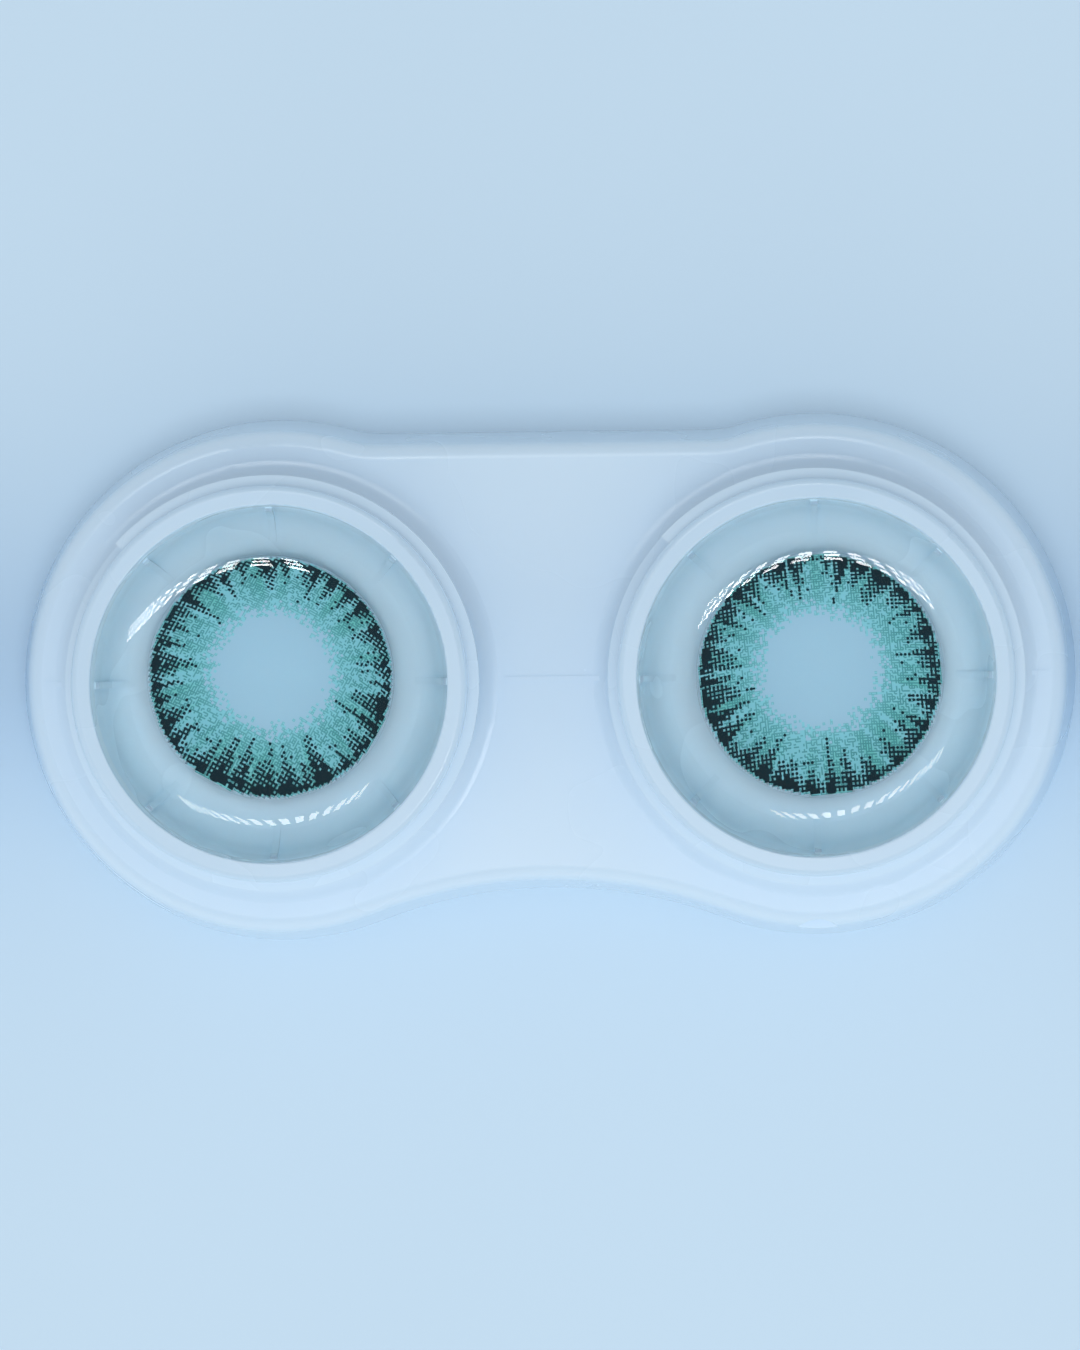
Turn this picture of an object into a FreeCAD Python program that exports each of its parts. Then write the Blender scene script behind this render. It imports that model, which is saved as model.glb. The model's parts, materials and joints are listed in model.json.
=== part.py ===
"""Contact lens case: two screw-top wells on one tray, with two caps and two soft lenses.

Millimetres, +Z up. The origin is on the table, at the middle of the tray, halfway between the
two wells. The tray's straight long edge faces +Y and its hollowed long edge faces -Y.
Both caps are off: the left one lies open side up and the right one open side down.
"""
import FreeCAD, Part
import math
import os

# --- tray: the plate, and the skirt that it stands on ---
lobe_land = 3.1              # width of the plate between a neck and the plate's rounded end
back_dip = 0.85              # how far the straight back edge lies inside the lobes
front_dip = 2.85             # how far the hollowed front edge lies inside the lobes
back_blend = 6.0             # hollow arc from the straight back edge into a lobe
skirt_flare = 0.8            # how far the skirt spreads between the plate and the table
plate_top = 6.0              # height of the plate's upper face
plate_thickness = 1.2
skirt_wall = 1.1
plate_edge_round = 0.9

# --- soft lenses ---
lens_diameter = 14.2
base_curve = 8.6             # radius of the hollow side
lens_thickness = 0.14
lens_float = 0.15            # gap between a lens and the bowl's floor
left_tilt = 8.0              # degrees by which the lens's +Y side is raised
right_tilt = 6.0
left_shift = (-0.26, -0.45)
right_shift = (0.26, -0.5)

# --- wells ---
lens_room = 2.9              # between the edge of a centred lens and the bore
neck_height = 6.5            # from the plate up to the sealing rim
bore_draft = 0.1             # how much narrower the bore is where its straight wall ends
straight_wall = 3.0          # from the rim down to where the wall starts to curve in
well_wall = 1.2
bowl_floor = 2.4             # height of the inside floor at the well's axis
bowl_corner = 5.0            # arc between the floor and the straight wall
rim_outer_round = 0.36
rim_inner_round = 0.1
neck_fillet = 1.5            # where the neck meets the plate

# --- ribs inside a well, which keep a lens off the wall ---
rib_count = 8
rib_width = 0.4
rib_proud = 0.2              # how far a rib stands off the wall
rib_drop = 2.0               # from the rim down to a rib's upper end
rib_sweep = 50.0             # degrees of the corner arc that a rib follows until it fades out
rib_root = 0.5               # how deep a rib is rooted in the wall

# --- screw thread on a neck, single start, right hand ---
thread_height = 0.6
thread_foot = 1.1            # width of the ridge where it meets the neck
thread_crest = 0.5           # width of its outer face
thread_pitch = 2.4
thread_turns = 1.23
thread_drop = 1.3            # from the rim down to the middle of the ridge's upper end
thread_start = 137.0         # direction of the upper end, in degrees from +X
thread_root = 0.2            # how deep the ridge is rooted in the neck

# --- moulding marks ---
gate_width = 2.0             # notch that the moulding gate leaves in the right lobe
gate_depth = 0.35
gate_height = 1.6            # how far the notch runs down from the plate
mark_width = 0.3
mark_height = 0.04
middle_mark_length = 5.85
middle_mark_shift = 0.6
end_mark_length = 1.2
end_mark_inset = 0.95        # gap between an end mark and the plate's end

# --- caps, built as they sit when screwed down ---
cap_gap = 3.4                # between the two caps when both are closed
thread_clearance = 0.2       # between a ridge's crest and the wall that faces it
cap_thread_inset = 0.05      # from the mouth's chamfer up to the cap's own ridge
cap_skirt_gap = 0.4          # between a closed cap and the plate
cap_seat_gap = 0.05          # between the cap's ceiling and the rim
cap_roof = 1.4
cap_wall = 1.3
cap_edge_round = 0.8
cap_mouth_chamfer = 0.4
cap_thread_turns = 1.1
dish_depth = 0.5             # shallow dish in the cap's top
dish_land = 1.6              # flat ring left around the dish
plug_clearance = 0.08        # between the cap's plug ring and the bore
plug_wall = 0.8
plug_depth = 1.3
grip_count = 48
grip_radius = 0.45           # each grip ridge is a part-sunk rod
grip_sink = 0.05             # how far a rod's middle lies inside the cap's wall
grip_margin = 0.8            # plain band below and above the ridges
letter_height = 6.0
letter_width = 3.8
letter_stroke = 1.1
letter_proud = 0.3

# --- where the caps lie ---
cap_aside = 3.1              # between the skirt's foot and a cap that lies beside it

# --- worked out from the sizes above ---
bore_radius = lens_diameter / 2 + lens_room
neck_radius = bore_radius - bore_draft + well_wall
rim_height = plate_top + neck_height
cap_bore = neck_radius + thread_height + thread_clearance
cap_radius = cap_bore + cap_wall
cap_bottom = plate_top + cap_skirt_gap
cap_ceiling = rim_height + cap_seat_gap
cap_top = cap_ceiling + cap_roof + dish_depth
grip_reach = cap_radius - grip_sink + grip_radius

well_offset = grip_reach + cap_gap / 2
lobe_radius = neck_radius + lobe_land
back_waist = lobe_radius - back_dip
front_waist = lobe_radius - front_dip
front_arc = (well_offset**2 + front_waist**2 - lobe_radius**2) / (2 * front_dip)
cap_spread = well_offset + lobe_radius + skirt_flare + cap_aside + grip_reach

corner_reach = bore_radius - bore_draft - bowl_corner
corner_centre = rim_height - straight_wall
corner_depth = corner_centre - bowl_floor
bowl_fall = corner_depth - bowl_corner
bowl_radius = (corner_reach**2 + bowl_fall**2) / (2 * bowl_fall) + bowl_corner
bowl_centre = bowl_floor + bowl_radius

ridge_foot_height = rim_height - thread_drop - thread_turns * thread_pitch
ridge_foot_turn = thread_start - 360.0 * thread_turns
cap_ridge_height = cap_bottom + cap_mouth_chamfer + cap_thread_inset + thread_foot / 2
cap_ridge_climb = cap_ridge_height + thread_pitch / 2 - ridge_foot_height
cap_ridge_turn = ridge_foot_turn + 360.0 * cap_ridge_climb / thread_pitch

up = FreeCAD.Vector(0, 0, 1)
across = FreeCAD.Vector(1, 0, 0)
centre = FreeCAD.Vector(0, 0, 0)
overrun = 1.0                # how far a cutting tool reaches past the face it opens
near = 1e-4                  # how closely an edge has to lie at the size it is picked by


def point(x, y, z=0.0):
    return FreeCAD.Vector(x, y, z)


def section(x, z):
    """A point of a profile that is turned about the Z axis."""
    return FreeCAD.Vector(x, 0, z)


def toward(start, end, distance):
    """The point at a distance from start, on the way to end."""
    step = end.sub(start)
    step.normalize()
    return start.add(step.multiply(distance))


def on_circle(middle, radius, degrees):
    """A point of a profile's circle, measured up from the outward direction."""
    turn = math.radians(degrees)
    return section(middle.x + radius * math.cos(turn), middle.z + radius * math.sin(turn))


def line(start, end):
    return Part.LineSegment(start, end).toShape()


def arc(start, middle, end):
    return Part.Arc(start, middle, end).toShape()


def turned(edges):
    """A solid made by turning a closed profile about the Z axis."""
    return Part.Face(Part.Wire(edges)).revolve(centre, up, 360)


def at_level(shape, height):
    """The edges of a shape that lie flat at one height."""
    return [e for e in shape.Edges
            if abs(e.BoundBox.ZMin - height) < near and abs(e.BoundBox.ZMax - height) < near]


def outline(grow, height):
    """The tray's outline, spread by grow all round, at one height."""
    lobe = lobe_radius + grow
    right = point(well_offset, 0, height)
    blend_x = well_offset - math.sqrt((lobe_radius + back_blend) ** 2 - (back_waist + back_blend) ** 2)
    blend = point(blend_x, back_waist + back_blend, height)
    hollow = point(0, -front_waist - front_arc, height)
    chord_end = point(blend_x, back_waist + grow, height)
    lobe_back = toward(right, blend, lobe)
    lobe_end = point(well_offset + lobe, 0, height)
    lobe_front = toward(right, hollow, lobe)
    blend_middle = toward(blend, chord_end.add(lobe_back).multiply(0.5), back_blend - grow)

    def mirrored(p):
        return point(-p.x, p.y, p.z)

    return Part.Wire([
        line(mirrored(chord_end), chord_end),
        arc(chord_end, blend_middle, lobe_back),
        arc(lobe_back, lobe_end, lobe_front),
        arc(lobe_front, point(0, -front_waist - grow, height), mirrored(lobe_front)),
        arc(mirrored(lobe_front), mirrored(lobe_end), mirrored(lobe_back)),
        arc(mirrored(lobe_back), mirrored(blend_middle), mirrored(chord_end)),
    ])


def flare_at(height):
    """How far the skirt has spread beyond the plate at a height."""
    return skirt_flare * (1 - height / plate_top)


def tray():
    outer = Part.makeLoft([outline(flare_at(0), 0), outline(0, plate_top)], True, True)
    outer = outer.makeFillet(plate_edge_round, at_level(outer, plate_top))
    underside = plate_top - plate_thickness
    hollow = Part.makeLoft([outline(flare_at(-overrun) - skirt_wall, -overrun),
                            outline(flare_at(underside) - skirt_wall, underside)], True, True)
    return outer.cut(hollow)


def bowl_arcs(thicken):
    """The floor arc and the corner arc of a well, on the face that is thicken below the inside."""
    floor_middle = section(0, bowl_centre)
    corner_middle = section(corner_reach, corner_centre)
    join_turn = math.degrees(math.atan2(corner_centre - bowl_centre, corner_reach))
    floor_radius = bowl_radius + thicken
    corner_radius = bowl_corner + thicken
    bottom = on_circle(floor_middle, floor_radius, -90)
    join = on_circle(floor_middle, floor_radius, join_turn)
    foot = on_circle(corner_middle, corner_radius, 0)
    return bottom, foot, [
        arc(bottom, on_circle(floor_middle, floor_radius, (join_turn - 90) / 2), join),
        arc(join, on_circle(corner_middle, corner_radius, join_turn / 2), foot),
    ]


def well_outside():
    """A well as a solid plug: bowl below the plate, straight neck above it, rounded edge on the rim."""
    bottom, foot, arcs = bowl_arcs(well_wall)
    round_low = section(neck_radius, rim_height - rim_outer_round)
    round_middle = section(neck_radius - rim_outer_round, rim_height - rim_outer_round)
    round_top = section(neck_radius - rim_outer_round, rim_height)
    axis_top = section(0, rim_height)
    plug = turned(arcs + [
        line(foot, round_low),
        arc(round_low, on_circle(round_middle, rim_outer_round, 45), round_top),
        line(round_top, axis_top),
        line(axis_top, bottom),
    ])
    underside = plate_top - plate_thickness
    return plug.fuse(Part.makeCylinder(neck_radius, corner_centre - underside, point(0, 0, underside)))


def well_inside():
    """The space that a well encloses, open at the top."""
    bottom, foot, arcs = bowl_arcs(0)
    round_low = section(bore_radius, rim_height - rim_inner_round)
    round_middle = section(bore_radius + rim_inner_round, rim_height - rim_inner_round)
    round_top = section(bore_radius + rim_inner_round, rim_height)
    mouth = section(bore_radius + rim_inner_round, rim_height + overrun)
    axis_top = section(0, rim_height + overrun)
    return turned(arcs + [
        line(foot, round_low),
        arc(round_low, on_circle(round_middle, rim_inner_round, 135), round_top),
        line(round_top, mouth),
        line(mouth, axis_top),
        line(axis_top, bottom),
    ])


def well_rib():
    """One rib in the direction of +X. It fades into the bowl at its lower end."""
    corner_middle = section(corner_reach, corner_centre)
    wall = corner_reach + bowl_corner
    top = rim_height - rib_drop
    face_top = section(wall - rib_proud, top - rib_proud)
    face_low = section(wall - rib_proud, corner_centre)
    face_middle = on_circle(corner_middle, bowl_corner - rib_proud, -rib_sweep / 3)
    tip = on_circle(corner_middle, bowl_corner, -rib_sweep)
    root_low = on_circle(corner_middle, bowl_corner + rib_root, -rib_sweep)
    root_middle = on_circle(corner_middle, bowl_corner + rib_root, -rib_sweep / 2)
    root_high = section(wall + rib_root, corner_centre)
    root_top = section(wall + rib_root, top)
    profile = Part.Wire([
        line(section(wall, top), face_top),
        line(face_top, face_low),
        arc(face_low, face_middle, tip),
        line(tip, root_low),
        arc(root_low, root_middle, root_high),
        line(root_high, root_top),
        line(root_top, section(wall, top)),
    ])
    rib = Part.Face(profile).extrude(point(0, rib_width, 0))
    rib.translate(point(0, -rib_width / 2, 0))
    return rib


def ridge(root_radius, crest_radius, turns, foot_turn, foot_height):
    """A thread ridge that climbs to the left of the axis, from its foot to its upper end."""
    inward = math.copysign(thread_root, root_radius - crest_radius)
    spread = (thread_foot - thread_crest) / 2 / abs(crest_radius - root_radius)
    foot_half = thread_foot / 2 + spread * thread_root
    crest_half = thread_crest / 2
    corners = [
        section(root_radius + inward, -foot_half),
        section(crest_radius, -crest_half),
        section(crest_radius, crest_half),
        section(root_radius + inward, foot_half),
    ]
    profile = Part.makePolygon(corners + corners[:1])
    path = Part.Wire(Part.makeHelix(thread_pitch, turns * thread_pitch, root_radius).Edges)
    made = path.makePipeShell([profile], True, True)
    made.rotate(centre, up, foot_turn)
    made.translate(point(0, 0, foot_height))
    return made


def gate_notch():
    """The cutter for the notch in the right lobe's front edge."""
    radius = (gate_depth**2 + (gate_width / 2) ** 2) / (2 * gate_depth)
    notch = Part.makeCylinder(radius, gate_height + overrun)
    notch.translate(point(well_offset, -lobe_radius + gate_depth - radius, plate_top - gate_height))
    return notch


def surface_marks():
    """Faint raised lines along the middle of the plate, left by the mould."""
    end_x = well_offset + lobe_radius - end_mark_inset - end_mark_length / 2
    places = [(middle_mark_shift, middle_mark_length), (-end_x, end_mark_length), (end_x, end_mark_length)]
    marks = []
    for x, length in places:
        mark = Part.makeBox(length, mark_width, 2 * mark_height)
        mark.translate(point(x - length / 2, -mark_width / 2, plate_top - mark_height))
        marks.append(mark)
    return marks


def both_wells(shape):
    """A copy of a shape at each well."""
    return [shape.translated(point(side * well_offset, 0, 0)) for side in (-1, 1)]


def case_body():
    body = tray().fuse(both_wells(well_outside())).removeSplitter()
    neck_feet = [e for e in at_level(body, plate_top)
                 if hasattr(e.Curve, "Radius") and abs(e.Curve.Radius - neck_radius) < near]
    body = body.makeFillet(neck_fillet, neck_feet)
    body = body.cut(both_wells(well_inside()))
    for turn in range(rib_count):
        rib = well_rib()
        rib.rotate(centre, up, 360.0 * turn / rib_count)
        body = body.fuse(both_wells(rib))
    thread = ridge(neck_radius, neck_radius + thread_height, thread_turns,
                   ridge_foot_turn, ridge_foot_height)
    body = body.fuse(both_wells(thread))
    return body.cut(gate_notch()).fuse(surface_marks())


def cap_shell():
    """A cap's wall and roof, with the dish in its top and the chamfer at its mouth."""
    low = point(0, 0, cap_bottom)
    shell = Part.makeCylinder(cap_radius, cap_top - cap_bottom, low)
    shell = shell.makeFillet(cap_edge_round, at_level(shell, cap_top))
    dish_low = point(0, 0, cap_top - dish_depth)
    dish = Part.makeCylinder(cap_radius - dish_land, dish_depth + overrun, dish_low)
    bore = Part.makeCylinder(cap_bore, cap_ceiling - cap_bottom, low)
    mouth = Part.makeCone(cap_bore + cap_mouth_chamfer, cap_bore, cap_mouth_chamfer, low)
    return shell.cut([dish, bore, mouth])


def plug_ring():
    """The ring below a cap's roof that seals inside the bore."""
    outside = bore_radius - plug_clearance
    low = point(0, 0, cap_ceiling - plug_depth)
    height = plug_depth + cap_roof / 2
    return Part.makeCylinder(outside, height, low).cut(Part.makeCylinder(outside - plug_wall, height, low))


def grip_ridges():
    """The ridges around a cap's wall, with a domed upper end on each."""
    low = cap_bottom + grip_margin
    high = cap_top - cap_edge_round - grip_margin
    ridges = []
    for turn in range(grip_count):
        rod = Part.makeCylinder(grip_radius, high - low, point(0, 0, low))
        rod = rod.fuse(Part.makeSphere(grip_radius, point(0, 0, high)))
        rod.translate(point(cap_radius - grip_sink, 0, 0))
        rod.rotate(centre, up, 360.0 * turn / grip_count)
        ridges.append(rod)
    return ridges


def stroke(x, y, width, depth):
    """One straight bar of a raised letter, standing in the dish."""
    low = cap_top - dish_depth - letter_proud
    return Part.makeBox(width, depth, 2 * letter_proud, point(x, y, low))


def letter_l():
    left = -letter_width / 2
    low = -letter_height / 2
    return [stroke(left, low, letter_stroke, letter_height), stroke(left, low, letter_width, letter_stroke)]


def letter_r():
    left = -letter_width / 2
    low = -letter_height / 2
    bowl_outer = letter_height / 2 / 2 + letter_stroke / 4
    bowl_x = letter_width / 2 - bowl_outer
    bowl_y = letter_height / 2 - bowl_outer
    base = cap_top - dish_depth - letter_proud
    bowl = point(bowl_x, bowl_y, base)
    ring = Part.makeCylinder(bowl_outer, 2 * letter_proud, bowl, up, 180)
    ring = ring.cut(Part.makeCylinder(bowl_outer - letter_stroke, 2 * letter_proud, bowl))
    ring.rotate(point(bowl_x, bowl_y, 0), up, -90)
    arms = [stroke(left, bowl_y + side * (bowl_outer - letter_stroke / 2) - letter_stroke / 2,
                   bowl_x - left, letter_stroke) for side in (-1, 1)]
    knee = bowl_y - bowl_outer + letter_stroke
    foot = letter_width / 2
    leg = Part.Face(Part.makePolygon([
        point(foot - letter_stroke, low, base), point(foot + letter_stroke / 4, low, base),
        point(bowl_x + letter_stroke / 2, knee, base), point(bowl_x - letter_stroke / 2, knee, base),
        point(foot - letter_stroke, low, base)])).extrude(point(0, 0, 2 * letter_proud))
    return [stroke(left, low, letter_stroke, letter_height), ring, leg] + arms


def cap(letter):
    """A cap as it sits when screwed down on a well at the origin."""
    thread = ridge(cap_bore, cap_bore - thread_height, cap_thread_turns, cap_ridge_turn, cap_ridge_height)
    return cap_shell().fuse([plug_ring(), thread] + grip_ridges() + letter).removeSplitter()


def left_cap():
    """The left cap, turned over, resting on its top."""
    made = cap(letter_l())
    made.rotate(centre, across, 180)
    made.translate(point(-cap_spread, 0, cap_top))
    return made


def right_cap():
    """The right cap, resting on its mouth."""
    return cap(letter_r()).translated(point(cap_spread, 0, -cap_bottom))


def lens(tilt, shift, side):
    """A thin shell of even thickness, tilted about the middle of its own curve."""
    half_angle = math.degrees(math.asin(lens_diameter / 2 / (base_curve + lens_thickness)))
    middle = section(0, 0)
    inner = [on_circle(middle, base_curve, turn) for turn in (-90, -90 + half_angle / 2, -90 + half_angle)]
    outer = [on_circle(middle, base_curve + lens_thickness, turn)
             for turn in (-90, -90 + half_angle / 2, -90 + half_angle)]
    shell = turned([arc(*inner), line(inner[2], outer[2]), arc(*reversed(outer)), line(outer[0], inner[0])])
    shell.rotate(centre, across, tilt)
    height = bowl_floor + lens_float + base_curve + lens_thickness
    return shell.translated(point(side * well_offset + shift[0], shift[1], height))


def write(name, shape):
    shape.exportStep(os.path.join("parts", name + ".step"))
    print(name, "solids", len(shape.Solids), "valid", shape.isValid(), "volume", round(shape.Volume, 2))


def main():
    os.makedirs("parts", exist_ok=True)
    write("case_body", case_body())
    write("cap_left", left_cap())
    write("cap_right", right_cap())
    write("lens_left", lens(left_tilt, left_shift, -1))
    write("lens_right", lens(right_tilt, right_shift, 1))


main()
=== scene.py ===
import bpy
import json
import math
from mathutils import Matrix, Vector


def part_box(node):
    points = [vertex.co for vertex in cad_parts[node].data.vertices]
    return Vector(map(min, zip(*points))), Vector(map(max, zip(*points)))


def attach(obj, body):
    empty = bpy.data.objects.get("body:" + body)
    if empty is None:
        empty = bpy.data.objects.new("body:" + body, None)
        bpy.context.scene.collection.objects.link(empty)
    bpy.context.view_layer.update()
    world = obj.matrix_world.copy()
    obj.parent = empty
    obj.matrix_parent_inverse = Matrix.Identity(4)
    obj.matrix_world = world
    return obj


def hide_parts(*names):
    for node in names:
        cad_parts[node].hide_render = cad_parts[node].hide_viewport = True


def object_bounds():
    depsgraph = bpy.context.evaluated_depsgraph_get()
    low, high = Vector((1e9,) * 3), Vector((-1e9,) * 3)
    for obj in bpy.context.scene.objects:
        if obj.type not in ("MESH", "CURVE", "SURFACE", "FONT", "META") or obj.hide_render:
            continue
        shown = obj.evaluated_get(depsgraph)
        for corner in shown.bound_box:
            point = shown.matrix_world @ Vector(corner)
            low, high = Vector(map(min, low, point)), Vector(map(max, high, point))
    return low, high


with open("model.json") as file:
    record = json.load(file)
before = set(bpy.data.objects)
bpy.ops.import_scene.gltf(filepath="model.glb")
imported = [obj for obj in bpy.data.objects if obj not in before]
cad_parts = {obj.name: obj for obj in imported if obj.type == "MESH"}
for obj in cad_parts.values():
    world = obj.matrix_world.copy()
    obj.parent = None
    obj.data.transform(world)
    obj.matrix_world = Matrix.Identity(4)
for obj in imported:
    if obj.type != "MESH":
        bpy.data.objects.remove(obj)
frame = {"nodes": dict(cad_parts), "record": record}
nodes = frame["nodes"]
caseLow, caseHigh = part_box("case_body")
cadLow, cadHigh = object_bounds()
scene = bpy.context.scene
mm = 0.001
weld = 1e-7            # metres, points closer than this become one

# the middle of each well, in mm, from the openings in the record
wells = {}
for opening in frame["record"]["physics"]["openings"]:
    if opening["name"].startswith("well_"):
        lowest, highest = opening["box_m"]
        wells[opening["name"]] = Vector([(a + b) / 2 / mm for a, b in zip(lowest[:2], highest[:2])])


def srgb(red, green, blue, alpha=1.0):
    # screen colour, 0 to 255, to the linear values that Blender wants
    def linear(v):
        v = v / 255
        return v / 12.92 if v <= 0.04045 else ((v + 0.055) / 1.055) ** 2.4
    return (linear(red), linear(green), linear(blue), alpha)


def newObject(name, data):
    piece = bpy.data.objects.new(name, data)
    scene.collection.objects.link(piece)
    return piece


class Tree:
    # thin wrapper that keeps node building short
    def __init__(self, tree):
        self.tree = tree

    def add(self, kind, inputs=None, **settings):
        node = self.tree.nodes.new(kind)
        for key, value in settings.items():
            setattr(node, key, value)
        for key, value in (inputs or {}).items():
            self.plug(value, node.inputs[key])
        return node

    def get(self, kind, inputs=None, **settings):
        return self.add(kind, inputs, **settings).outputs[0]

    def plug(self, value, socket):
        if isinstance(value, bpy.types.NodeSocket):
            self.tree.links.new(value, socket)
        else:
            socket.default_value = value

    def math(self, operation, *values, clamp=False):
        return self.get("ShaderNodeMath", dict(enumerate(values)), operation=operation, use_clamp=clamp)

    def vector(self, operation, *values, out=0):
        return self.add("ShaderNodeVectorMath", dict(enumerate(values)), operation=operation).outputs[out]

    def scaled(self, value, factor):
        return self.get("ShaderNodeVectorMath", {0: value, "Scale": factor}, operation="SCALE")

    def product(self, first, second):
        return self.math("MULTIPLY", first, second)

    def combine(self, x=0.0, y=0.0, z=0.0):
        return self.get("ShaderNodeCombineXYZ", {"X": x, "Y": y, "Z": z})

    def ramp(self, value, low, high, toLow=0.0, toHigh=1.0):
        ends = {"Value": value, "From Min": low, "From Max": high, "To Min": toLow, "To Max": toHigh}
        return self.get("ShaderNodeMapRange", ends, interpolation_type="SMOOTHSTEP")

    def mix(self, factor, first, second):
        return self.add("ShaderNodeMix", {0: factor, 6: first, 7: second}, data_type="RGBA").outputs[2]

    def join(self, *parts):
        joined = self.add("GeometryNodeJoinGeometry")
        for part in parts:
            self.plug(part, joined.inputs[0])
        return joined.outputs[0]

    def moved(self, geometry, place):
        return self.get("GeometryNodeTransform", {"Geometry": geometry, "Translation": place})

    def covered(self, geometry, material, chosen=True):
        inputs = {"Geometry": geometry, "Selection": chosen, "Material": material}
        return self.get("GeometryNodeSetMaterial", inputs)


def newMaterial(name):
    material = bpy.data.materials.new(name)
    material.use_nodes = True
    material.node_tree.nodes.clear()
    return material, Tree(material.node_tree)


def newGroup(name, inputs, outputs, kind="ShaderNodeTree"):
    group = bpy.data.node_groups.new(name, kind)
    for label, socketType, value in inputs:
        socket = group.interface.new_socket(label, in_out="INPUT", socket_type="NodeSocket" + socketType)
        if value is not None:
            socket.default_value = value
    for label, socketType in outputs:
        group.interface.new_socket(label, in_out="OUTPUT", socket_type="NodeSocket" + socketType)
    tree = Tree(group)
    return group, tree, tree.add("NodeGroupInput").outputs, tree.add("NodeGroupOutput").inputs


def newShapeTree(name, inputs):
    return newGroup(name, inputs, [("Geometry", "Geometry")], "GeometryNodeTree")


def growPiece(name, group, sizes, profile=()):
    # runs a shape tree on a profile in mm and keeps the outcome as a plain mesh
    mesh = bpy.data.meshes.new(name + "Profile")
    points = [(x * mm, 0, z * mm) for x, z in profile]
    mesh.from_pydata(points, [(k, k + 1) for k in range(len(points) - 1)], [])
    piece = newObject(name, mesh)
    modifier = piece.modifiers.new(group.name, "NODES")
    modifier.node_group = group
    for item in group.interface.items_tree:
        if item.in_out == "INPUT" and item.name in sizes:
            modifier[item.identifier] = sizes[item.name]
    grown = bpy.data.meshes.new_from_object(piece.evaluated_get(bpy.context.evaluated_depsgraph_get()))
    piece.modifiers.clear()
    piece.data = grown
    grown.name = name
    for k in reversed(range(len(grown.materials))):
        if grown.materials[k] is None:
            grown.materials.pop(index=k)
    return piece


cameraSetup = {
    "lens": 175.1,                        # mm, on a 36 mm sensor
    "place": (12.15, 6.85, 378.5),        # mm from the middle of the case's foot
    "aim": (-0.52, 0.11, 0.0),            # mm, the point of the table in the middle of the view
    "roll": 0.70,                         # degrees that the case looks turned
}


def makeCamera(setup):
    data = bpy.data.cameras.new("shotCamera")
    data.lens = setup["lens"]
    data.sensor_width = 36
    camera = newObject("shotCamera", data)
    foot = Vector(((caseLow.x + caseHigh.x) / 2, (caseLow.y + caseHigh.y) / 2, caseLow.z))
    place = foot + Vector(setup["place"]) * mm
    back = (place - foot - Vector(setup["aim"]) * mm).normalized()
    turn = math.radians(setup["roll"])
    right = Vector((math.cos(turn), -math.sin(turn), 0))
    right = (right - back * right.dot(back)).normalized()
    up = back.cross(right)
    camera.matrix_world = Matrix.Translation(place) @ Matrix((right, up, back)).transposed().to_4x4()
    scene.camera = camera


makeCamera(cameraSetup)
print("camera placed")


lightSetup = {
    "sky": (0.97, 0.985, 1.0, 1.0),
    "zenith": 0.58,                       # sky strength straight up
    "horizon": 0.98,
    "front": 0.27,                        # how much brighter the sky is towards the front
    "softPlace": (0.0, -0.10, 0.50),      # metres
    "softSize": 0.20,
    "softPower": 0.59,
    "softColour": (0.97, 0.985, 1.0),
    "panelHeight": 0.40,
    "cellFill": 0.55,                     # share of each tile's place that glows, along the panel
    "rowFill": 0.62,
}

# each panel: middle, length and width in metres, tiles along it, rows, degrees turned, glow, and
# whether it shows in reflections
lightPanels = {
    "frontBar": {"middle": (0.022, -0.058), "length": 0.170, "width": 0.026, "tiles": 14, "rows": 3,
                 "turn": 0.0, "glow": 42.0, "mirrored": True},
    "backBar": {"middle": (-0.037, 0.113), "length": 0.200, "width": 0.032, "tiles": 16, "rows": 1,
                "turn": 11.0, "glow": 19.0, "mirrored": True},
    "waterFill": {"middle": (0.0, 0.13), "length": 0.30, "width": 0.30, "tiles": 1, "rows": 1,
                  "turn": 0.0, "glow": 2.6, "mirrored": False},
}


def makeSky(setup):
    world = bpy.data.worlds.new("paleSky")
    world.use_nodes = True
    world.node_tree.nodes.clear()
    tree = Tree(world.node_tree)
    way = tree.add("ShaderNodeTexCoord").outputs["Generated"]
    way = tree.add("ShaderNodeSeparateXYZ", {"Vector": way}).outputs
    height = tree.math("MAXIMUM", way["Z"], 0.0)
    level = tree.math("MULTIPLY_ADD", height, setup["zenith"] - setup["horizon"], setup["horizon"])
    lean = tree.math("MULTIPLY_ADD", way["Y"], -setup["front"], 1.0)
    strength = tree.product(level, lean)
    background = tree.get("ShaderNodeBackground", {"Color": setup["sky"], "Strength": strength})
    tree.add("ShaderNodeOutputWorld", {"Surface": background})
    scene.world = world


def makeSoftbox(setup):
    data = bpy.data.lights.new("softbox", "AREA")
    data.size = setup["softSize"]
    data.energy = setup["softPower"]
    data.color = setup["softColour"]
    softbox = newObject("softbox", data)
    softbox.location = setup["softPlace"]
    softbox.rotation_euler = (-softbox.location).to_track_quat("-Z", "Y").to_euler()
    softbox.visible_glossy = False


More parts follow.
